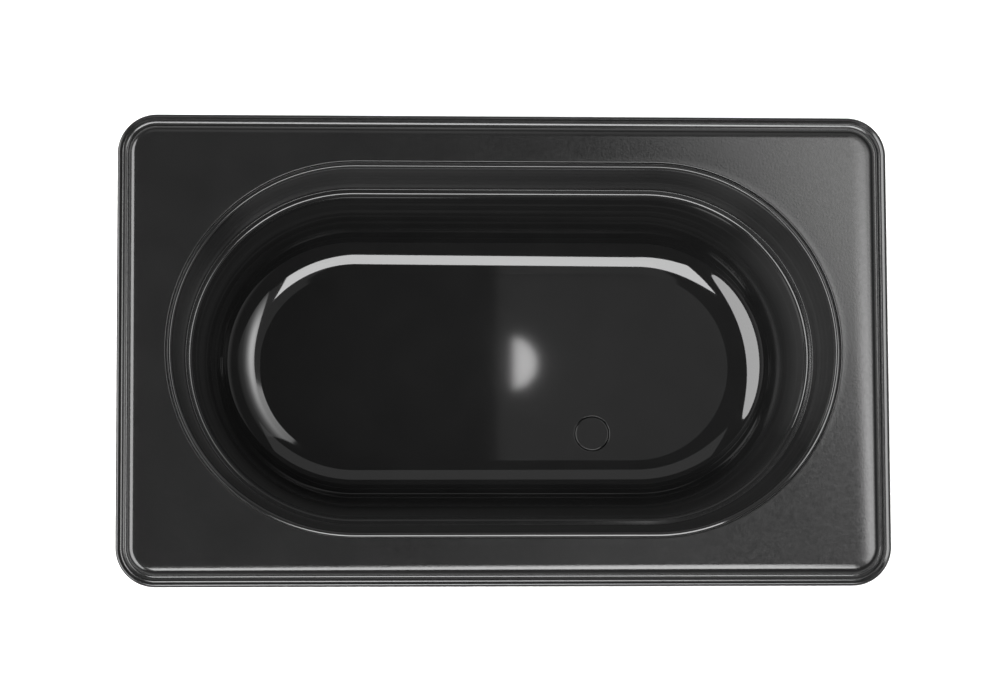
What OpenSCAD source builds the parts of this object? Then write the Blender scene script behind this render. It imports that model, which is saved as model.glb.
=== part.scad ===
// Deli food pan of the quarter counter size: a satin deck frame with a stepped
// rim, a glossy oval-ended basin bonded under it, and a drain plug in the floor.
// Origin on the table under the middle of the pan, +X along its length, +Z up.

/* [Pan] */
// Overall length along X
pan_l = 265; // [250:1:330]
// Overall width along Y
pan_w = 162; // [156:1:180]
// Overall height from the foot ring to the deck
pan_h = 65; // [60:1:100]
// Radius of the outer corners, seen from above
corner_r = 13.5; // [12:0.5:20]

/* [Deck frame] */
// Thickness of the deck plate
deck_t = 3; // [2.5:0.25:3.5]
// Depth of the skirt's lower edge below the deck
skirt_h = 8; // [7:0.5:12]
// Thickness of the skirt
skirt_t = 2.2; // [2:0.1:2.6]
// Width of the stepped band between the flat deck and the outer edge
band_w = 7.2; // [7:0.1:7.6]

/* [Basin] */
// Length of the straight sides of the opening
straight_l = 102.4; // [90:0.2:110]
// Radius of the opening's round ends, at the deck's edge
opening_r = 64.5; // [55:0.5:65]
// Wall thickness of the basin
wall_t = 3; // [2.5:0.25:3.5]
// Draft of the upper wall, from vertical
upper_draft = 8; // [5:0.5:9]
// Depth of the stacking shoulder below the deck
shoulder_depth = 24.5; // [18:0.5:30]
// Draft of the lower wall, from vertical
lower_draft = 12; // [10:0.5:18]
// Radius of the hollow curve between the wall and the floor
floor_fillet_r = 19; // [12:1:22]
// Height of the floor's upper surface above the table
floor_z = 5; // [4.5:0.5:6]

/* [Drain plug] */
// Plug centre along X
plug_x = 35.5; // [-45:0.5:45]
// Plug centre along Y
plug_y = -24.5; // [-26:0.5:26]
// Diameter of the plug's head
plug_d = 12.1; // [10:0.1:14]
// Diameter of the plug's stem
stem_d = 8; // [6:0.1:9]

/* [Hidden] */
$fn = 96;
arc_steps = 6;

// Rim: the deck rolls over to a low ledge, then groove, bead and raised outer edge.
// Drops are measured down from the deck.
roll_r = 5;
roll_tilt = 35;
deck_edge_r = 0.8;
ledge_drop = 2.1;
ledge_w = 0.3;
groove_drop = 2.5;
groove_w = 0.6;
bead_r = 0.35;
outer_edge_r = 0.9;
outer_drop = 1.8;
band_bottom = 4.9;

// Seam between the deck's edge and the basin's lip
seam_w = 0.5;
seal_w = 0.4;
seal_top_gap = 0.6;
opening_edge_r = 0.4;
lip_outer_r = opening_r - seam_w;
lip_edge_r = 0.3;
lip_top_w = 0.5;
lip_round_r = 0.6;

// Bonding flange of the basin under the deck
flange_w = 6;
flange_t = 2;

// Stacking shoulder: a narrow ledge that slopes down to the lower wall
shoulder_w = 1.6;
shoulder_tilt = 24;
shoulder_round_r = 0.5;
outer_round_r = 1.5;

// Foot ring and plug seat
foot_h = 2;
foot_w = 3;
boss_gap = 0.5;
boss_wall = 2.7;
plug_clearance = 0.3;
head_t = 1.6;
head_edge_r = 0.3;
washer_t = 0.8;
stem_gap = 0.8;

half_l = straight_l / 2;
deck_z = pan_h;
inner_wall_r = lip_outer_r - lip_edge_r - lip_top_w - lip_round_r;
shoulder_z = pan_h - shoulder_depth;
upper_end_r = inner_wall_r - (deck_z - lip_round_r - shoulder_z) * tan(upper_draft);
ledge_end_r = upper_end_r - shoulder_w;
ledge_end_z = shoulder_z - shoulder_w * tan(shoulder_tilt);
round_x = ledge_end_r + shoulder_round_r * sin(shoulder_tilt);
round_z = ledge_end_z - shoulder_round_r * cos(shoulder_tilt);
lower_top_r = round_x - shoulder_round_r * cos(lower_draft);
lower_top_z = round_z + shoulder_round_r * sin(lower_draft);
fillet_z = floor_z + floor_fillet_r;
flat_r = lower_top_r
    - (floor_fillet_r + (lower_top_z - fillet_z) * sin(lower_draft)) / cos(lower_draft);
plug_seat_z = floor_z - head_t - washer_t;

// Points along an arc in the section plane
function arc(cx, cz, r, from, to, steps = arc_steps) =
    [for (i = [0:steps])
        let (a = from + (to - from) * i / steps)
        [cx + r * cos(a), cz + r * sin(a)]];

// Carries a section round a rectangle with round corners. The section's X is the
// distance out from the corner centres, which lie at (half_x, half_y).
module carry_round(section, half_x, half_y) {
    for (turn = [0, 180])
        rotate(turn) {
            translate([half_x, half_y, 0])
                rotate_extrude(angle = 90)
                    polygon(section);
            translate([-half_x, half_y, 0])
                rotate(90)
                    rotate_extrude(angle = 90)
                        polygon(section);
            translate([0, half_y, 0])
                rotate([90, 0, 90])
                    linear_extrude(2 * half_x, center = true)
                        polygon(section);
            if (half_y > 0)
                translate([half_x, 0, 0])
                    rotate([90, 0, 0])
                        linear_extrude(2 * half_y, center = true)
                            polygon(section);
        }
}

// Carries a section round the oval of the opening
module carry_oval(section) {
    carry_round(section, half_l, 0);
}

// Section of the deck's border: flat deck, rolled edge, ledge, groove, bead,
// raised outer edge and skirt
corner_x = pan_l / 2 - corner_r;
corner_y = pan_w / 2 - corner_r;
flat_end = corner_r - band_w;
edge_x = flat_end + (roll_r - deck_edge_r) * sin(roll_tilt);
edge_z = deck_z - roll_r + (roll_r - deck_edge_r) * cos(roll_tilt);
ledge_x = edge_x + deck_edge_r + 0.1;
groove_x = ledge_x + ledge_w + 0.2;
bead_x = groove_x + groove_w + 0.3 + bead_r;
rim_section = concat(
    [[0, deck_z - deck_t], [0, deck_z]],
    arc(flat_end, deck_z - roll_r, roll_r, 90, 90 - roll_tilt),
    arc(edge_x, edge_z, deck_edge_r, 85 - roll_tilt, 0),
    [[ledge_x, deck_z - ledge_drop],
     [ledge_x + ledge_w, deck_z - ledge_drop],
     [groove_x, deck_z - groove_drop],
     [groove_x + groove_w, deck_z - groove_drop]],
    arc(bead_x, deck_z - ledge_drop - bead_r, bead_r, 180, 0),
    arc(corner_r - outer_edge_r, deck_z - outer_drop - outer_edge_r, outer_edge_r, 90, 0),
    [[corner_r, deck_z - skirt_h],
     [corner_r - skirt_t, deck_z - skirt_h],
     [corner_r - skirt_t, deck_z - band_bottom],
     [flat_end - 0.7, deck_z - band_bottom],
     [flat_end - 1.3, deck_z - deck_t]]
);

// Space cut out of the deck for the basin's lip, flared to round the edge
opening_cut = concat(
    [[0, deck_z - deck_t - 1], [opening_r, deck_z - deck_t - 1]],
    [for (i = [0:arc_steps])
        let (a = 180 - 90 * i / arc_steps)
        [opening_r + opening_edge_r + opening_edge_r * cos(a),
         deck_z - opening_edge_r + opening_edge_r * sin(a)]],
    [[opening_r + opening_edge_r, deck_z + 1], [0, deck_z + 1]]
);

// Section of the basin from the middle of the floor, up the inside, over the
// lip, down the outside past the flange, and under the floor with its foot ring
outer_upper_r = inner_wall_r + wall_t;
outer_shoulder_z = shoulder_z - wall_t;
upper_slope = tan(upper_draft);
lower_slope = tan(lower_draft);
outer_step_r = outer_upper_r - (deck_z - lip_round_r - outer_shoulder_z) * upper_slope;
outer_fillet_r = floor_fillet_r + wall_t;
outer_tangent_r = flat_r + outer_fillet_r * cos(lower_draft);
outer_tangent_z = fillet_z - outer_fillet_r * sin(lower_draft);
outer_lower_r = outer_tangent_r + (outer_shoulder_z - outer_tangent_z) * lower_slope;
flange_z = deck_z - deck_t;
basin_section = concat(
    [[0, floor_z]],
    arc(flat_r, fillet_z, floor_fillet_r, -90, -lower_draft, 12),
    arc(round_x, round_z, shoulder_round_r, 180 - lower_draft, 90 + shoulder_tilt),
    [[upper_end_r, shoulder_z]],
    arc(inner_wall_r + lip_round_r, deck_z - lip_round_r, lip_round_r, 180, 90),
    arc(lip_outer_r - lip_edge_r, deck_z - lip_edge_r, lip_edge_r, 90, 0, 3),
    [[lip_outer_r, flange_z],
     [lip_outer_r + flange_w, flange_z],
     [lip_outer_r + flange_w, flange_z - flange_t],
     [outer_upper_r - (deck_z - flange_z) * upper_slope, flange_z - flange_t],
     [outer_step_r, outer_shoulder_z + outer_round_r]],
    arc(outer_step_r - outer_round_r, outer_shoulder_z + outer_round_r, outer_round_r, 0, -90),
    [[outer_lower_r, outer_shoulder_z]],
    arc(flat_r, fillet_z, outer_fillet_r, -lower_draft, -90, 12),
    [[flat_r - 0.5, 0],
     [flat_r - 0.5 - foot_w, 0],
     [flat_r - 0.5 - foot_w, foot_h],
     [0, foot_h]]
);

// Thin sealing ring that stands on the flange and fills the seam
seal_inner_r = lip_outer_r + (seam_w - seal_w) / 2;
seal_section = [
    [seal_inner_r, flange_z],
    [seal_inner_r + seal_w, flange_z],
    [seal_inner_r + seal_w, deck_z - seal_top_gap],
    [seal_inner_r, deck_z - seal_top_gap]
];

module deck_frame() {
    color([0.16, 0.16, 0.17])
        difference() {
            union() {
                carry_round(rim_section, corner_x, corner_y);
                translate([-corner_x, -corner_y, deck_z - deck_t])
                    cube([2 * corner_x, 2 * corner_y, deck_t]);
            }
            carry_oval(opening_cut);
        }
}

// The seat is a boss under the floor, bored for the stem and counterbored for
// the head and its washer
module basin() {
    color([0.05, 0.05, 0.055])
        difference() {
            union() {
                carry_oval(basin_section);
                translate([plug_x, plug_y, boss_gap])
                    cylinder(h = foot_h, d = stem_d + 2 * (plug_clearance + boss_wall));
            }
            translate([plug_x, plug_y, -1])
                cylinder(h = floor_z + 2, d = stem_d + 2 * plug_clearance);
            translate([plug_x, plug_y, plug_seat_z])
                cylinder(h = floor_z, d = plug_d + 2 * plug_clearance);
        }
}

module seam_seal() {
    color([0.03, 0.03, 0.03])
        carry_oval(seal_section);
}

// Turned shape: flush head with a rounded edge on a short stem
module drain_plug() {
    head_r = plug_d / 2;
    stem_r = stem_d / 2;
    color([0.07, 0.07, 0.075])
        translate([plug_x, plug_y, 0])
            rotate_extrude()
                polygon(concat(
                    [[0, stem_gap],
                     [stem_r - 0.4, stem_gap],
                     [stem_r, stem_gap + 0.4],
                     [stem_r, plug_seat_z + washer_t],
                     [head_r, plug_seat_z + washer_t]],
                    arc(head_r - head_edge_r, floor_z - head_edge_r, head_edge_r, 0, 90, 3),
                    [[0, floor_z]]
                ));
}

// Flat washer under the plug's head, round its stem
module plug_seal() {
    color([0.03, 0.03, 0.03])
        translate([plug_x, plug_y, plug_seat_z])
            difference() {
                cylinder(h = washer_t, d = plug_d - 0.2);
                translate([0, 0, -1])
                    cylinder(h = washer_t + 2, d = stem_d + 0.2);
            }
}

deck_frame();
basin();
seam_seal();
drain_plug();
plug_seal();
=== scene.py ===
# %% [markdown]
# # Deli food pan
#
# A quarter-size counter pan for a deli display: a satin deck with a stepped rim, a
# glossy basin with round ends set into it, a thin seal in the seam between the two, and
# a flush drain plug in the floor of the basin. Everything is black, so nearly all that
# the eye reads is reflection. Two things decide whether it looks real: how smoothly the
# surfaces turn, and what there is around the pan to be reflected in them.
#
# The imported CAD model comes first. It fixes where everything is and how large it is.

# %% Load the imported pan
import math

import bmesh
import bpy
from mathutils import Matrix, Vector


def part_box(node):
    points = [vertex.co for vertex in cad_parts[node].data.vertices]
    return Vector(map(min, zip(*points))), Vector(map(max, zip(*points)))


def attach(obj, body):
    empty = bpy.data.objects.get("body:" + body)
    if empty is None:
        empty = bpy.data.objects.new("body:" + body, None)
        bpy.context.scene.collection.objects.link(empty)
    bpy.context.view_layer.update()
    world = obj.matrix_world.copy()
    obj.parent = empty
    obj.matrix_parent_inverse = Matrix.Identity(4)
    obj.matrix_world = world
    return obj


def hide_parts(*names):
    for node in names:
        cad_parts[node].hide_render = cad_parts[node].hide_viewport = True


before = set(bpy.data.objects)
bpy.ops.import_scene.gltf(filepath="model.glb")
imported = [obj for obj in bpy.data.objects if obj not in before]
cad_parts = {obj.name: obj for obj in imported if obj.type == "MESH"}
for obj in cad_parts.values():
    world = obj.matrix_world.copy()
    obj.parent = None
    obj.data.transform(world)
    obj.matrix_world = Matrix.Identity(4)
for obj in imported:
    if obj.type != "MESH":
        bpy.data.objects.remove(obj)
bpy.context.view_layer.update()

print("pieces:", sorted(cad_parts))

# %% [markdown]
# ## The camera
#
# The pan is seen from almost straight above, from a little left of and in front of its
# middle, through a long lens. A copy camera on a column looks like this: its body stays
# nearly level and the lens is shifted to centre the pan, so a small shift is used
# here as well and the walls of the basin lean the way they should.

# %% Copy camera
MM = 0.001


def copy_camera():
    """The camera over the pan."""
    camera = bpy.data.objects.new("copy_camera", bpy.data.cameras.new("copy_camera"))
    camera.location = (-59.9 * MM, -94.8 * MM, 956.4 * MM)
    camera.rotation_euler = [math.radians(angle) for angle in (4.135, -2.611, -0.18)]
    camera.data.sensor_width = 36
    camera.data.lens = 94.6
    camera.data.shift_x = 0.05
    camera.data.shift_y = 0.1
    bpy.context.scene.collection.objects.link(camera)
    bpy.context.scene.camera = camera
    return camera


camera = copy_camera()
print("camera:", camera.data.lens, "mm lens,", round(camera.location.z, 3), "m up")

# %% [markdown]
# ## Reading sizes off the frame
#
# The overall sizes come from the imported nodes, so the looks can't drift away from the
# part. Only the small shapes of each section are named here, in millimetres.

# %% Main sizes
deck_low, deck_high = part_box("deck_frame")
basin_low, basin_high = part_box("basin")
plug_low, plug_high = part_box("drain_plug")
washer_low, washer_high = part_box("plug_seal")
seal_low, seal_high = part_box("seam_seal")

DECK_Z = deck_high.z / MM
SKIRT_Z = deck_low.z / MM
CORNER_R = 13.5
CORNER_X = deck_high.x / MM - CORNER_R
CORNER_Y = deck_high.y / MM - CORNER_R
HALF_STRAIGHT = (basin_high.x - basin_high.y) / MM
FLANGE_R = basin_high.y / MM
PLUG_X = (plug_low.x + plug_high.x) / 2 / MM
PLUG_Y = (plug_low.y + plug_high.y) / 2 / MM
PLUG_R = (plug_high.x - plug_low.x) / 2 / MM
FLOOR_Z = plug_high.z / MM
STEM_Z = plug_low.z / MM
WASHER_Z = washer_low.z / MM
HEAD_Z = washer_high.z / MM
print(f"deck {2 * (CORNER_X + CORNER_R):.1f} x {2 * (CORNER_Y + CORNER_R):.1f} mm,"
      f" plug {2 * PLUG_R:.1f} mm across at ({PLUG_X:.1f}, {PLUG_Y:.1f})")

# %% [markdown]
# ## Sections with rounded corners
#
# Every piece of the pan is one section carried round a path. A moulded edge is never
# sharp, and on black plastic the small roundings are what catches the light as thin
# bright lines. So a section is given as corners with a radius each, and a helper turns
# every corner into a true arc. A bevel modifier could round a finished mesh, but it
# can't give the large hollow between wall and floor its own even curve.

# %% Round the corners of a section


def turn_steps(radius, turn):
    """How many steps an arc takes: fine for large radii, at least four for small ones."""
    finest = 1.6 if radius > 5 else 15
    return max(4, math.ceil(math.degrees(turn) / finest))


def rounded(corners):
    """The closed section through corners of (outward, height, radius), arcs put in."""
    points = []
    for i, (x, z, radius) in enumerate(corners):
        here = Vector((x, z))
        back = Vector(corners[i - 1][:2]) - here
        ahead = Vector(corners[(i + 1) % len(corners)][:2]) - here
        if radius == 0:
            points.append(here)
            continue
        inner = back.angle(ahead)
        reach = radius / math.tan(inner / 2)
        start = here + back.normalized() * reach
        end = here + ahead.normalized() * reach
        middle = here + (back.normalized() + ahead.normalized()).normalized() * (
            radius / math.sin(inner / 2))
        steps = turn_steps(radius, math.pi - inner)
        first = math.atan2(*(start - middle).yx)
        sweep = math.remainder(math.atan2(*(end - middle).yx) - first, 2 * math.pi)
        for k in range(steps + 1):
            angle = first + sweep * k / steps
            points.append(middle + radius * Vector((math.cos(angle), math.sin(angle))))
    return [(point.x, point.y) for point in points]


print("a quarter turn of 0.5 mm takes", turn_steps(0.5, math.pi / 2), "steps,",
      "and one of 20 mm takes", turn_steps(20, math.pi / 2))

# %% [markdown]
# ## Paths
#
# Seen from above, the rim runs round a rectangle with round corners, and the basin
# round an oval with straight sides. Both are the same kind of path: four quarter turns
# about four centres, which for the oval lie in pairs. Giving both paths the same number
# of places lets the flat deck be a plain skin of quads between rim and opening.

# %% Carry a section round a path
QUARTER_STEPS = 48


def places_round(half_x, half_y, steps=QUARTER_STEPS):
    """Centre and outward direction at each place along a path of four quarter turns."""
    places = []
    for corner, (side_x, side_y) in enumerate(((1, 1), (-1, 1), (-1, -1), (1, -1))):
        for i in range(steps + 1):
            turn = math.pi / 2 * (corner + i / steps)
            places.append((side_x * half_x, side_y * half_y, math.cos(turn), math.sin(turn)))
    return places


RIM_PATH = places_round(CORNER_X, CORNER_Y)
OVAL_PATH = places_round(HALF_STRAIGHT, 0)
print("each path has", len(RIM_PATH), "places")

# %% Rings, skins and finished shapes
CREASE_ANGLE = 40
WELD_DISTANCE = 0.0005 * MM


def lay_ring(shape, path, outward, height, lift=0):
    """One ring of points round a path. The lift counts in full on the long sides and
    fades to nothing at the two ends."""
    return [
        shape.verts.new(((x + outward * along) * MM, (y + outward * across) * MM,
                         (height + lift * across ** 2) * MM))
        for x, y, along, across in path
    ]


def skin_rings(shape, rings, closed=True):
    """Quads from each ring to the next, and from the last back to the first if closed."""
    for ring, above in zip(rings, rings[1:] + rings[:closed]):
        for i in range(len(ring)):
            k = (i + 1) % len(ring)
            shape.faces.new((ring[i], ring[k], above[k], above[i]))


def smooth_shading(mesh):
    """Smooth, but for edges that turn by more than the crease angle."""
    mesh.shade_smooth()
    mesh.set_sharp_from_angle(angle=math.radians(CREASE_ANGLE))


def finish_shape(shape, name):
    """Welds and faces outward, then makes a smooth-shaded object of the shape."""
    bmesh.ops.remove_doubles(shape, verts=shape.verts, dist=WELD_DISTANCE)
    bmesh.ops.dissolve_degenerate(shape, dist=WELD_DISTANCE, edges=shape.edges)
    bmesh.ops.recalc_face_normals(shape, faces=shape.faces)
    mesh = bpy.data.meshes.new(name)
    shape.to_mesh(mesh)
    shape.free()
    piece = bpy.data.objects.new(name, mesh)
    bpy.context.scene.collection.objects.link(piece)
    smooth_shading(mesh)
    return piece


def even_shading(piece):
    """Lets flat faces win at their borders, so roundings start cleanly beside them."""
    weighting = piece.modifiers.new("even_shading", "WEIGHTED_NORMAL")
    weighting.weight = 100
    weighting.keep_sharp = True


def tell(piece):
    """Prints how large a piece's mesh is."""
    print(f"{piece.name}: {len(piece.data.vertices)} points, {len(piece.data.polygons)} faces")


print("edges that turn by more than", CREASE_ANGLE, "degrees stay sharp")

# %% [markdown]
# ## The deck frame
#
# The deck is a flat plate whose border rolls over to a low ledge. Outside that come a
# fine groove, a bead and a raised outer edge over the skirt. The plate isn't quite
# flat. At both ends it falls away a little, as moulded plates do, and round the
# opening it stands hundredths of a millimetre proud. None of this can be seen as
# shape, but the light shows it, so it's modelled.

# %% Deck frame section
FLAT_END = CORNER_R - 7.2
FALL_WIDTH = 6.2
END_FALL = 0.17
FALL_STEPS = 12
OPENING_R = 64.5
OPENING_EDGE_R = 0.4
PROUD_WIDTH = 2.2
PROUD_HEIGHT = 0.02
PROUD_STEPS = 5
DECK_T = 3.0
FIELD_Z = DECK_Z - PROUD_HEIGHT
ROLL_END_Z = FIELD_Z - END_FALL
LEDGE_Z = DECK_Z - 2.1
GROOVE_Z = DECK_Z - 2.4
BEAD_Z = DECK_Z - 2.08
DIP_Z = DECK_Z - 2.27
OUTER_TOP_Z = DECK_Z - 1.78
SKIRT_T = 2.2
BAND_BOTTOM_Z = DECK_Z - 4.9
UNDER_Z = DECK_Z - DECK_T

rim_corners = [
    (FLAT_END + 1.6, ROLL_END_Z - 0.07, 3.2),
    (FLAT_END + 2.99, ROLL_END_Z - 1.05, 0.5),
    (FLAT_END + 2.99, LEDGE_Z, 0.15),
    (FLAT_END + 3.5, LEDGE_Z, 0.2),
    (FLAT_END + 3.8, LEDGE_Z - 0.065, 0.08),
    (FLAT_END + 3.9, GROOVE_Z, 0.08),
    (FLAT_END + 4.1, GROOVE_Z, 0.1),
    (FLAT_END + 4.6, GROOVE_Z + 0.153, 0.1),
    (FLAT_END + 4.75, BEAD_Z, 0.1),
    (FLAT_END + 5.1, BEAD_Z, 0.15),
    (FLAT_END + 5.4, BEAD_Z - 0.07, 0.08),
    (FLAT_END + 5.5, DIP_Z, 0.06),
    (CORNER_R - 0.95, OUTER_TOP_Z, 0.15),
    (CORNER_R, OUTER_TOP_Z, 0.9),
    (CORNER_R, SKIRT_Z, 0.4),
    (CORNER_R - SKIRT_T, SKIRT_Z, 0.4),
    (CORNER_R - SKIRT_T, BAND_BOTTOM_Z, 0.6),
    (FLAT_END - 0.7, BAND_BOTTOM_Z, 0.6),
    (FLAT_END - 1.6, UNDER_Z, 0.6),
    (-30, UNDER_Z, 0),
    (-30, ROLL_END_Z, 0),
]
opening_corners = [
    (OPENING_R + 20, UNDER_Z, 0),
    (OPENING_R, UNDER_Z, 0.2),
    (OPENING_R, DECK_Z, OPENING_EDGE_R),
    (OPENING_R + 20, DECK_Z, 0),
]
print("rim:", len(rim_corners), "corners, ledge", round(DECK_Z - LEDGE_Z, 2), "mm down")

# %% Deck frame
FALL_BEGINS_Z = LEDGE_Z + 0.4


def rim_rings(shape):
    """The rim, from the roll at the deck's border down and under. The corner points far
    inside the opening only shape the arcs beside them, so they are left off."""
    rings = []
    for x, z in rounded(rim_corners)[:-2]:
        share = max(0, (z - FALL_BEGINS_Z) / (ROLL_END_Z - FALL_BEGINS_Z))
        rings.append(lay_ring(shape, RIM_PATH, x, z, END_FALL * share))
    return rings


def opening_rings(shape):
    """The side of the opening and the strip round it that stands a little proud."""
    rings = [lay_ring(shape, OVAL_PATH, x, z) for x, z in rounded(opening_corners)[1:-1]]
    for i in range(1, PROUD_STEPS + 1):
        t = i / PROUD_STEPS
        outward = OPENING_R + OPENING_EDGE_R + PROUD_WIDTH * t
        height = FIELD_Z + PROUD_HEIGHT * (1 - t) ** 2
        rings.append(lay_ring(shape, OVAL_PATH, outward, height))
    return rings


def falling_rings(shape):
    """The deck's border, which falls away at the ends, up to where the rim begins."""
    rings = []
    for i in range(FALL_STEPS + 1):
        t = i / FALL_STEPS
        outward = FLAT_END - FALL_WIDTH * (1 - t)
        fall = END_FALL * t ** 3
        rings.append(lay_ring(shape, RIM_PATH, outward, FIELD_Z - fall, fall))
    return rings


def deck_shape():
    """The deck frame's surface, rim first, then under the deck, the opening and back."""
    shape = bmesh.new()
    skin_rings(shape, rim_rings(shape) + opening_rings(shape) + falling_rings(shape))
    return shape


deck = finish_shape(deck_shape(), "deck_shell")
even_shading(deck)
tell(deck)

# %% [markdown]
# ## The basin
#
# The basin is a closed section with the thickness of the wall, carried round the oval:
# floor, a faint break where the floor begins to rise, a large hollow up to the lower
# wall, the stacking shoulder, the upper wall and the lip that stands in the deck's
# opening, then back down outside. The plug's seat is turned, and added and cut with
# booleans, because a turned shape that isn't centred in an oval has no simple grid of
# quads.

# %% Basin section
SEAM_W = 0.5
LIP_R = OPENING_R - SEAM_W
UPPER_DRAFT = math.tan(math.radians(8))
LOWER_DRAFT = math.tan(math.radians(12))
FLOOR_BREAK = math.tan(math.radians(7))
SHOULDER_Z = DECK_Z - 24.5
INNER_R = LIP_R - 1.4
LIP_H = 0.6
UPPER_END_R = INNER_R - (DECK_Z - LIP_H - SHOULDER_Z) * UPPER_DRAFT
LEDGE_R = UPPER_END_R - 2.5
LEDGE_END_Z = SHOULDER_Z - 0.2
FLOOR_FLAT_R = 34.2
WALL_FOOT_R = LEDGE_R - LEDGE_END_Z * LOWER_DRAFT
CORNER_Z = FLOOR_Z + (WALL_FOOT_R - FLOOR_FLAT_R) * FLOOR_BREAK
CORNER_Z /= 1 - LOWER_DRAFT * FLOOR_BREAK
HOLLOW_R = 19.5
WALL_T = 3.0
FOOT_H = 2.0
OUTER_STEP_Z = SHOULDER_Z - WALL_T
OUTER_STEP_R = INNER_R + WALL_T - (DECK_Z - LIP_H - OUTER_STEP_Z) * UPPER_DRAFT
OUTER_FOOT_R = WALL_FOOT_R + WALL_T * math.sqrt(1 + LOWER_DRAFT ** 2)
FOOT_R = FLOOR_FLAT_R - 0.5
FOOT_W = 3.0
FLANGE_T = 2.0
FLANGE_TOP_Z = DECK_Z - DECK_T
FLANGE_END_Z = FLANGE_TOP_Z - FLANGE_T

basin_corners = [
    (0, FLOOR_Z, 0),
    (FLOOR_FLAT_R, FLOOR_Z, 0.3),
    (WALL_FOOT_R + CORNER_Z * LOWER_DRAFT, CORNER_Z, HOLLOW_R),
    (LEDGE_R, LEDGE_END_Z, 1.5),
    (UPPER_END_R, SHOULDER_Z, 0.4),
    (INNER_R, DECK_Z, 0.9),
    (LIP_R, DECK_Z - 0.235, 0.2),
    (LIP_R, FLANGE_TOP_Z, 0.15),
    (FLANGE_R, FLANGE_TOP_Z, 0.3),
    (FLANGE_R, FLANGE_END_Z, 0.5),
    (INNER_R + WALL_T - (DECK_T + FLANGE_T) * UPPER_DRAFT, FLANGE_END_Z, 0.6),
    (OUTER_STEP_R, OUTER_STEP_Z, 1.5),
    (OUTER_FOOT_R + OUTER_STEP_Z * LOWER_DRAFT, OUTER_STEP_Z, 0.1),
    (OUTER_FOOT_R + FOOT_H * LOWER_DRAFT, FOOT_H, HOLLOW_R + WALL_T),
    (FOOT_R, FOOT_H, 0.5),
    (FOOT_R, 0, 0.4),
    (FOOT_R - FOOT_W, 0, 0.4),
    (FOOT_R - FOOT_W, FOOT_H, 0.5),
    (0, FOOT_H, 0),
]
print(f"shoulder at {SHOULDER_Z:.1f} mm, floor at {FLOOR_Z:.1f} mm,"
      f" foot of the wall {WALL_FOOT_R:.1f} mm out")

# %% Turned shapes
TURN_STEPS = 24


def turned(corners, name, x, y):
    """A shape turned about an upright line at (x, y), from the corners of its section."""
    path = [(x, y, along, across) for _, _, along, across in places_round(0, 0, TURN_STEPS)]
    shape = bmesh.new()
    rings = [lay_ring(shape, path, r, z) for r, z in rounded(corners)]
    skin_rings(shape, rings, closed=corners[0][0] > 0)
    return finish_shape(shape, name)


print("a turned shape has", 4 * (TURN_STEPS + 1), "places round it")

# %% The basin and the plug's seat
BOSS_R = 7.0
BOSS_LOW_Z = 0.5
BOSS_HIGH_Z = 3.2
BORE_R = 4.3
BORE_MOUTH_R = BORE_R + 1.5
BORE_MOUTH_Z = BOSS_LOW_Z - 0.01
SEAT_R = PLUG_R + 0.3
SEAT_CLEAR_R = SEAT_R + 2
SEAT_RIM_Z = FLOOR_Z + 0.001
CUT_TOP_Z = FLOOR_Z + 3

boss_corners = [
    (0, BOSS_LOW_Z, 0),
    (BOSS_R, BOSS_LOW_Z, 0.5),
    (BOSS_R, BOSS_HIGH_Z, 0),
    (0, BOSS_HIGH_Z, 0),
]
cutter_corners = [
    (0, -1, 0),
    (BORE_MOUTH_R, -1, 0),
    (BORE_MOUTH_R, BORE_MOUTH_Z, 0),
    (BORE_R, BORE_MOUTH_Z, 0.3),
    (BORE_R, WASHER_Z, 0.1),
    (SEAT_R, WASHER_Z, 0.2),
    (SEAT_R, SEAT_RIM_Z, 0.25),
    (SEAT_CLEAR_R, SEAT_RIM_Z, 0),
    (SEAT_CLEAR_R, CUT_TOP_Z, 0),
    (0, CUT_TOP_Z, 0),
]


def combine(piece, other, operation):
    """Adds or cuts another piece and removes it."""
    joining = piece.modifiers.new(operation.lower(), "BOOLEAN")
    joining.operation = operation
    joining.solver = "EXACT"
    joining.object = other
    bpy.context.view_layer.objects.active = piece
    bpy.ops.object.modifier_apply(modifier=joining.name)
    bpy.data.objects.remove(other)


def basin_piece():
    """The basin with the plug's seat let into its floor."""
    shape = bmesh.new()
    rings = [lay_ring(shape, OVAL_PATH, r, z) for r, z in rounded(basin_corners)]
    skin_rings(shape, rings, closed=False)
    basin = finish_shape(shape, "basin_shell")
    combine(basin, turned(boss_corners, "seat_boss", PLUG_X, PLUG_Y), "UNION")
    combine(basin, turned(cutter_corners, "seat_cutter", PLUG_X, PLUG_Y), "DIFFERENCE")
    smooth_shading(basin.data)
    even_shading(basin)
    return basin


basin = basin_piece()
tell(basin)

# %% [markdown]
# ## Plug and seals
#
# The plug is turned: a flat head flush with the floor, its edge just broken, on a short
# stem. A soft washer sits under the head, and the seam's seal is a thin band that
# stands on the basin's flange and fills the gap below the deck's surface.

# %% Plug and washer
STEM_R = 4.0
WASHER_BORE_R = STEM_R + 0.1
WASHER_R = (washer_high.x - washer_low.x) / 2 / MM

plug = turned([
    (0, STEM_Z, 0),
    (STEM_R, STEM_Z, 0.4),
    (STEM_R, HEAD_Z, 0.15),
    (PLUG_R, HEAD_Z, 0.15),
    (PLUG_R, FLOOR_Z, 0.3),
    (0, FLOOR_Z, 0),
], "plug_body", PLUG_X, PLUG_Y)
washer = turned([
    (WASHER_BORE_R, WASHER_Z, 0.12),
    (WASHER_R, WASHER_Z, 0.25),
    (WASHER_R, HEAD_Z, 0.25),
    (WASHER_BORE_R, HEAD_Z, 0.12),
], "plug_washer", PLUG_X, PLUG_Y)
for piece in (plug, washer):
    even_shading(piece)
    tell(piece)

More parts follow.
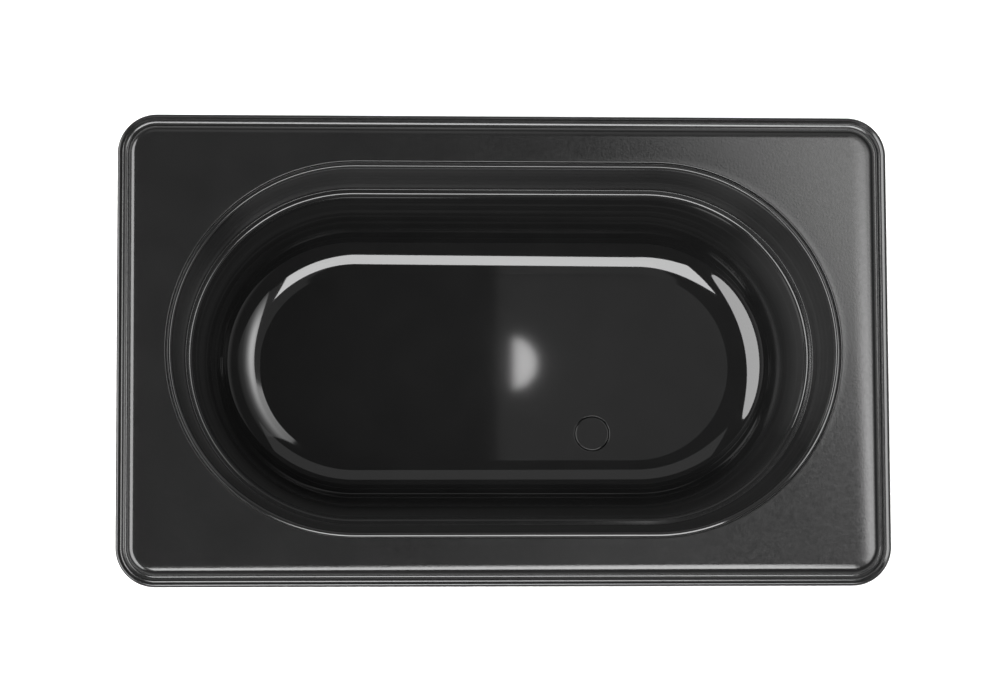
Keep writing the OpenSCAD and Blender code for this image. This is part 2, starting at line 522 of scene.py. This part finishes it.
# %% Seam seal
SEAL_R = seal_high.y / MM
SEAL_LOW_Z = seal_low.z / MM
SEAL_HIGH_Z = seal_high.z / MM
SEAL_W = 0.4


def seal_shape():
    """A thin upright band, rounder on top than at its foot."""
    shape = bmesh.new()
    section = rounded([
        (SEAL_R - SEAL_W, SEAL_LOW_Z, 0.05),
        (SEAL_R, SEAL_LOW_Z, 0.05),
        (SEAL_R, SEAL_HIGH_Z, 0.19),
        (SEAL_R - SEAL_W, SEAL_HIGH_Z, 0.19),
    ])
    skin_rings(shape, [lay_ring(shape, OVAL_PATH, r, z) for r, z in section])
    return shape


seam_seal = finish_shape(seal_shape(), "seam_band")
even_shading(seam_seal)
tell(seam_seal)

# %% [markdown]
# ## Materials
#
# All four finishes are the same kind of shader with different surface detail, and every
# detail is noise in the piece's own coordinates. A picture of plastic could be laid on
# instead, but it would have one sharpness at one distance, and noise has no such limit.
# The helpers come first: noise, a range for it, and relief and colour made from it.

# %% A new finish and its noise


def new_finish(name, colour, roughness):
    """A material with its shader and object coordinates in metres, ready for relief."""
    finish = bpy.data.materials.new(name)
    finish.use_nodes = True
    shader = finish.node_tree.nodes["Principled BSDF"]
    shader.inputs["Base Color"].default_value = (*colour, 1)
    shader.inputs["Roughness"].default_value = roughness
    shader.inputs["IOR"].default_value = 1.58
    place = finish.node_tree.nodes.new("ShaderNodeTexCoord")
    return finish, shader, place.outputs["Object"]


def add_noise(finish, place, per_metre, stretch=(1, 1, 1), detail=2):
    """Noise with that many features to the metre, stretched along the axes."""
    nodes, links = finish.node_tree.nodes, finish.node_tree.links
    mapping = nodes.new("ShaderNodeMapping")
    mapping.inputs["Scale"].default_value = [per_metre * factor for factor in stretch]
    noise = nodes.new("ShaderNodeTexNoise")
    noise.inputs["Scale"].default_value = 1
    noise.inputs["Detail"].default_value = detail
    links.new(place, mapping.inputs["Vector"])
    links.new(mapping.outputs["Vector"], noise.inputs["Vector"])
    return noise.outputs["Fac"]


def spread(finish, value, low, high, start=0.3, end=0.7):
    """Maps noise onto a range, so that its middle part spans low to high."""
    mapping = finish.node_tree.nodes.new("ShaderNodeMapRange")
    for socket, number in (("From Min", start), ("From Max", end),
                           ("To Min", low), ("To Max", high)):
        mapping.inputs[socket].default_value = number
    finish.node_tree.links.new(value, mapping.inputs["Value"])
    return mapping.outputs["Result"]


print("noise helpers ready")

# %% Relief and colour


def add_relief(finish, shader, height, depth, under=None):
    """Relief of that many metres, laid over the relief under it."""
    bump = finish.node_tree.nodes.new("ShaderNodeBump")
    bump.inputs["Distance"].default_value = depth
    bump.inputs["Strength"].default_value = 1
    finish.node_tree.links.new(height, bump.inputs["Height"])
    if under:
        finish.node_tree.links.new(under, bump.inputs["Normal"])
    finish.node_tree.links.new(bump.outputs["Normal"], shader.inputs["Normal"])
    return bump.outputs["Normal"]


def tint(finish, shader, value, dark, light):
    """Varies the colour between two shades."""
    ramp = finish.node_tree.nodes.new("ShaderNodeValToRGB")
    ramp.color_ramp.elements[0].position = 0.3
    ramp.color_ramp.elements[1].position = 0.7
    ramp.color_ramp.elements[0].color = (*dark, 1)
    ramp.color_ramp.elements[1].color = (*light, 1)
    finish.node_tree.links.new(value, ramp.inputs["Fac"])
    finish.node_tree.links.new(ramp.outputs["Color"], shader.inputs["Base Color"])


print("relief and colour helpers ready")

# %% [markdown]
# ## The satin deck
#
# The deck is etched satin: a fine grain in the mould scatters the light. The grain is
# far smaller than a millimetre, and under it lies a very shallow swell, which keeps
# the reflections from being perfectly straight.

# %% Satin deck


def satin_deck():
    """Etched satin polycarbonate."""
    finish, shader, place = new_finish("satin_black_deck", (0.008, 0.008, 0.008), 0.22)
    links = finish.node_tree.links
    tint(finish, shader, add_noise(finish, place, 60), (0.008,) * 3, (0.010,) * 3)
    sheen = add_noise(finish, place, 900)
    links.new(spread(finish, sheen, 0.13, 0.18), shader.inputs["Roughness"])
    grain = add_relief(finish, shader, add_noise(finish, place, 1400), 0.012 * MM)
    add_relief(finish, shader, add_noise(finish, place, 45, detail=1), 0.004 * MM, grain)
    return finish


deck_finish = satin_deck()
print("deck:", deck_finish.name)

# %% [markdown]
# ## The glossy basin and plug
#
# The basin is polished, but the tool that cut its mould ran round the walls at one
# height after another and left traces that follow the height, so the relief is noise
# squeezed flat along Z. The floor, the shoulder and the lip mirror sharply, and the
# walls between them are duller. That is done with a ramp over the height, which needs
# no second material and so no border on the surface. The pale streaks on the walls are
# painted light: a very weak glow given off by the walls themselves, standing in for
# light that fine scratches would scatter.

# %% Values that follow the height
RAMP_TOP = 70


def times(finish, one, other):
    """The product of two values."""
    product = finish.node_tree.nodes.new("ShaderNodeMath")
    product.operation = "MULTIPLY"
    finish.node_tree.links.new(one, product.inputs[0])
    finish.node_tree.links.new(other, product.inputs[1])
    return product.outputs["Value"]


def by_height(finish, place, stops):
    """A value that follows the height, from stops of (height in mm, value)."""
    split = finish.node_tree.nodes.new("ShaderNodeSeparateXYZ")
    finish.node_tree.links.new(place, split.inputs["Vector"])
    height = spread(finish, split.outputs["Z"], 0, 1, 0, RAMP_TOP * MM)
    ramp = finish.node_tree.nodes.new("ShaderNodeValToRGB")
    elements = ramp.color_ramp.elements
    while len(elements) < len(stops):
        elements.new(0.5)
    for element, (z, value) in zip(elements, stops):
        element.position = z / RAMP_TOP
        element.color = (value, value, value, 1)
    finish.node_tree.links.new(height, ramp.inputs["Fac"])
    return ramp.outputs["Color"]


def above(finish, place, value, low, high):
    """Lets a value fade in between two heights."""
    split = finish.node_tree.nodes.new("ShaderNodeSeparateXYZ")
    finish.node_tree.links.new(place, split.inputs["Vector"])
    rise = spread(finish, split.outputs["Z"], 0, 1, low * MM, high * MM)
    return times(finish, value, rise)


print("height ramps reach", RAMP_TOP, "mm")

# %% Gloss black for the basin and the plug


def wall_stops(floor, walls, edges):
    """Stops for the floor, then the walls, broken by the shoulder's and the lip's edges."""
    return ((12, floor), (18, walls), (37.5, walls), (38.6, edges),
            (40.3, edges), (41.2, walls), (63, walls), (64, edges))


def gloss_black(name, shade):
    """Polished black polycarbonate, duller and traced by the tool along the walls, with a painted
    glow in streaks on them.
    """
    finish, shader, place = new_finish(name, (shade, shade, shade * 1.05), 0.045)
    links = finish.node_tree.links
    tint(finish, shader, add_noise(finish, place, 80), (shade * 0.85,) * 3, (shade * 1.1,) * 3)
    # Painted light: a faint emission in pale streaks makes the walls above the floor glow, though
    # they are no lamp.
    glow_streaks = add_noise(finish, place, 4, stretch=(1, 1, 130), detail=1)
    painted_glow = by_height(finish, place, ((10, 0.0), (24, 0.0062), (RAMP_TOP, 0.0062)))
    painted_glow = times(finish, painted_glow, spread(finish, glow_streaks, 0.8, 2.0, 0.45, 0.72))
    links.new(painted_glow, shader.inputs["Emission Color"])
    shader.inputs["Emission Strength"].default_value = 1
    polish = by_height(finish, place, wall_stops(0.045, 0.33, 0.05))
    links.new(polish, shader.inputs["Roughness"])
    gloss = by_height(finish, place, wall_stops(0.5, 0.15, 0.5))
    links.new(gloss, shader.inputs["Specular IOR Level"])
    swell = add_relief(finish, shader, add_noise(finish, place, 25, detail=0), 0.004 * MM)
    fine = add_noise(finish, place, 8, stretch=(1, 1, 120), detail=2)
    fine_traces = add_relief(finish, shader, fine, 0.003 * MM, swell)
    coarse = add_noise(finish, place, 5, stretch=(1, 1, 50), detail=1)
    wall_traces = above(finish, place, coarse, 14, 26)
    add_relief(finish, shader, wall_traces, 0.02 * MM, fine_traces)
    return finish


basin_finish = gloss_black("gloss_black_basin", 0.0058)
plug_finish = gloss_black("gloss_black_plug", 0.0062)
print("basin:", basin_finish.name, "and plug:", plug_finish.name)

# %% [markdown]
# ## The rubber seals
#
# Washer and seam band are soft black rubber. Rubber takes dust, so it is rougher and a
# little uneven in shade, with a coarser bloom than moulded plastic has.

# %% Seal rubber, and a finish for every piece


def seal_black():
    """Soft black rubber, dusty and dull."""
    finish, shader, place = new_finish("soft_black_seal", (0.008, 0.008, 0.008), 0.6)
    links = finish.node_tree.links
    tint(finish, shader, add_noise(finish, place, 400), (0.006,) * 3, (0.010,) * 3)
    links.new(spread(finish, add_noise(finish, place, 700), 0.55, 0.7), shader.inputs["Roughness"])
    add_relief(finish, shader, add_noise(finish, place, 2500), 0.006 * MM)
    return finish


def dress(piece, finish):
    """Gives a piece its one material."""
    piece.data.materials.clear()
    piece.data.materials.append(finish)


seal_finish = seal_black()
dress(deck, deck_finish)
dress(basin, basin_finish)
dress(plug, plug_finish)
dress(washer, seal_finish)
dress(seam_seal, seal_finish)
print("finishes:", [material.name for material in bpy.data.materials if material.users])

# %% [markdown]
# ## Each piece on its body
#
# The pan is one moving body and the plug is another, so the plug and its washer lift
# out together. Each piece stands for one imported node, which is hidden.

# %% Ride and replace
for piece, body, node, slot in (
    (deck, "pan", "deck_frame", "satin_deck"),
    (basin, "pan", "basin", "gloss_basin"),
    (seam_seal, "pan", "seam_seal", "seal_rubber"),
    (plug, "plug", "drain_plug", "gloss_plug"),
    (washer, "plug", "plug_seal", "seal_rubber"),
):
    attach(piece, body)
    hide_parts(node)
    print(f"{piece.name} rides on {body} and stands for {node}")

# %% [markdown]
# ## Table and surroundings
#
# A white table, lit until it has no shade of its own. The surroundings are pale near
# the level of the table and dark overhead, as in a studio with white walls and an unlit
# ceiling: the polished basin looks up and stays black.

# %% White table


def white_table():
    """A large white sheet that glows a little, so that shadows stay faint."""
    shape = bmesh.new()
    bmesh.ops.create_grid(shape, x_segments=1, y_segments=1, size=6)
    table = finish_shape(shape, "white_table")
    paper = bpy.data.materials.new("white_paper")
    paper.use_nodes = True
    shader = paper.node_tree.nodes["Principled BSDF"]
    shader.inputs["Base Color"].default_value = (0.9, 0.9, 0.9, 1)
    shader.inputs["Roughness"].default_value = 0.9
    shader.inputs["Specular IOR Level"].default_value = 0.1
    shader.inputs["Emission Color"].default_value = (1, 1, 1, 1)
    shader.inputs["Emission Strength"].default_value = 0.55
    dress(table, paper)
    return table


table = white_table()
print("table:", table.name)

# %% The room


def studio_room():
    """The light from all around: pale at the level of the table, dark overhead."""
    world = bpy.data.worlds.new("studio_room")
    world.use_nodes = True
    nodes, links = world.node_tree.nodes, world.node_tree.links
    place = nodes.new("ShaderNodeTexCoord")
    split = nodes.new("ShaderNodeSeparateXYZ")
    ramp = nodes.new("ShaderNodeValToRGB")
    ramp.color_ramp.elements[0].position = 0.12
    ramp.color_ramp.elements[0].color = (0.95, 0.95, 0.95, 1)
    ramp.color_ramp.elements[1].position = 0.42
    ramp.color_ramp.elements[1].color = (0.09, 0.09, 0.09, 1)
    links.new(place.outputs["Generated"], split.inputs["Vector"])
    links.new(split.outputs["Z"], ramp.inputs["Fac"])
    links.new(ramp.outputs["Color"], nodes["Background"].inputs["Color"])
    bpy.context.scene.world = world


studio_room()
bpy.context.scene.view_settings.view_transform = "Standard"
print("room:", bpy.context.scene.world.name,
      "view:", bpy.context.scene.view_settings.view_transform)

# %% [markdown]
# ## Lights
#
# The lights are placed by what they do in the basin, which is a curved mirror. Each
# one is given as seen from the part of the basin that mirrors it: how far it leans
# sideways for each unit of height. Softboxes on stands face the pan, and the panels
# that hang from the ceiling face straight down.

# %% Lamp helpers


def add_lamp(name, shape, width, depth, level):
    """A flat light with the given brightness, not seen by the camera itself."""
    light = bpy.data.lights.new(name, "AREA")
    light.shape = shape
    light.size, light.size_y = width, depth
    lit_share = math.pi / 4 if shape == "ELLIPSE" else 1
    light.energy = level * width * depth * lit_share * math.pi
    lamp = bpy.data.objects.new(name, light)
    lamp.visible_camera = False
    bpy.context.scene.collection.objects.link(lamp)
    return lamp


def softbox(name, seen_from, lean, distance, size, level, roll=0, shape="RECTANGLE"):
    """A light on a stand that faces the point it is seen from; size is across, then up."""
    lamp = add_lamp(name, shape, *size, level)
    away = Vector((*lean, 1)).normalized()
    across = Vector((0, 0, 1)).cross(away).normalized()
    facing = Matrix((across, away.cross(across), away)).transposed()
    lamp.location = Vector(seen_from) * MM + away * distance
    lamp.rotation_euler = facing.to_euler()
    lamp.rotation_euler.rotate_axis("Z", math.radians(roll))
    return lamp


def ceiling_panel(name, seen_from, middle, size, height, level, turn=0, shape="RECTANGLE"):
    """A light facing straight down; middle and size are leans, so they grow with height."""
    lamp = add_lamp(name, shape, size[0] * height, size[1] * height, level)
    lamp.location = Vector(seen_from) * MM + Vector((*middle, 1)) * height
    lamp.rotation_euler.z = math.radians(turn)
    return lamp


print("lamp helpers ready")

# %% Softboxes
front_box = softbox("front_softbox", (0, 38, 7), (0.03, -0.452), 1.1, (0.67, 0.36), 10,
                    roll=15)
left_box = softbox("left_softbox", (95, 0, 10), (-1.2, -0.13), 1.1, (1.5, 0.58), 7, roll=5,
                   shape="ELLIPSE")
back_box = softbox("back_card", (0, -38, 7), (0.07, 0.83), 1.1, (1.0, 0.42), 0.42)
print("softboxes:", [lamp.name for lamp in (front_box, left_box, back_box)])

# %% [markdown]
# ## The far diffuser
#
# A large diffuser far up on the right is bright in one place and fades away from it. It
# makes the soft crescent in the left end of the basin, and the sheen on the right of
# the deck. The fading is a gradient over the light itself.

# %% Far diffuser, with a fading edge


def fading(lamp, middle, stretch, stops):
    """Fades a light away from a place on it, in stops of (distance, level). Places on the
    light run from 0 to 1 each way, and stretch says how much each way counts."""
    lamp.data.use_nodes = True
    nodes, links = lamp.data.node_tree.nodes, lamp.data.node_tree.links
    stretched = nodes.new("ShaderNodeVectorMath")
    stretched.operation = "MULTIPLY"
    stretched.inputs[1].default_value = (*stretch, 0)
    away = nodes.new("ShaderNodeVectorMath")
    away.operation = "DISTANCE"
    away.inputs[1].default_value = [place * share for place, share in zip(middle, stretch)] + [0]
    ramp = nodes.new("ShaderNodeValToRGB")
    elements = ramp.color_ramp.elements
    while len(elements) < len(stops):
        elements.new(0.5)
    for element, (position, level) in zip(elements, stops):
        element.position = position
        element.color = (level, level, level, 1)
    links.new(nodes.new("ShaderNodeNewGeometry").outputs["Parametric"], stretched.inputs[0])
    links.new(stretched.outputs["Vector"], away.inputs[0])
    links.new(away.outputs["Value"], ramp.inputs["Fac"])
    links.new(ramp.outputs["Color"], nodes["Emission"].inputs["Color"])


far_box = ceiling_panel("far_diffuser", (-92, 5, 8), (0.731, 0.1375), (0.8, 0.92), 6.0, 7.6,
                        turn=37.7)
fading(far_box, (0.1, 0.62), (1, 0.55), (
    (0, 1), (0.05, 0.92), (0.1, 0.75), (0.15, 0.52),
    (0.22, 0.3), (0.32, 0.14), (0.5, 0.05), (1, 0),
))
print("far diffuser at", [round(value, 2) for value in far_box.location])

# %% [markdown]
# ## Lamp and grey panel
#
# Two things show in the flat floor: a small lamp behind a half-open shutter, mirrored
# as half a disc, and the straight edge of a dim panel.

# %% Lamp and panel
lamp_spot = ceiling_panel("shuttered_lamp", (6.1, 1.3, 5), (0.069, 0.101), (0.039, 0.039),
                          1.0, 9, shape="ELLIPSE")
fading(lamp_spot, (1, 0), (1, 0), ((0, 1), (0.38, 1), (0.5, 0)))
panel = ceiling_panel("grey_panel", (0.9, 35, 5), (0.3354, -0.1595), (0.543, 0.593), 1.5, 0.25)
print("over the floor:", lamp_spot.name, "and", panel.name)
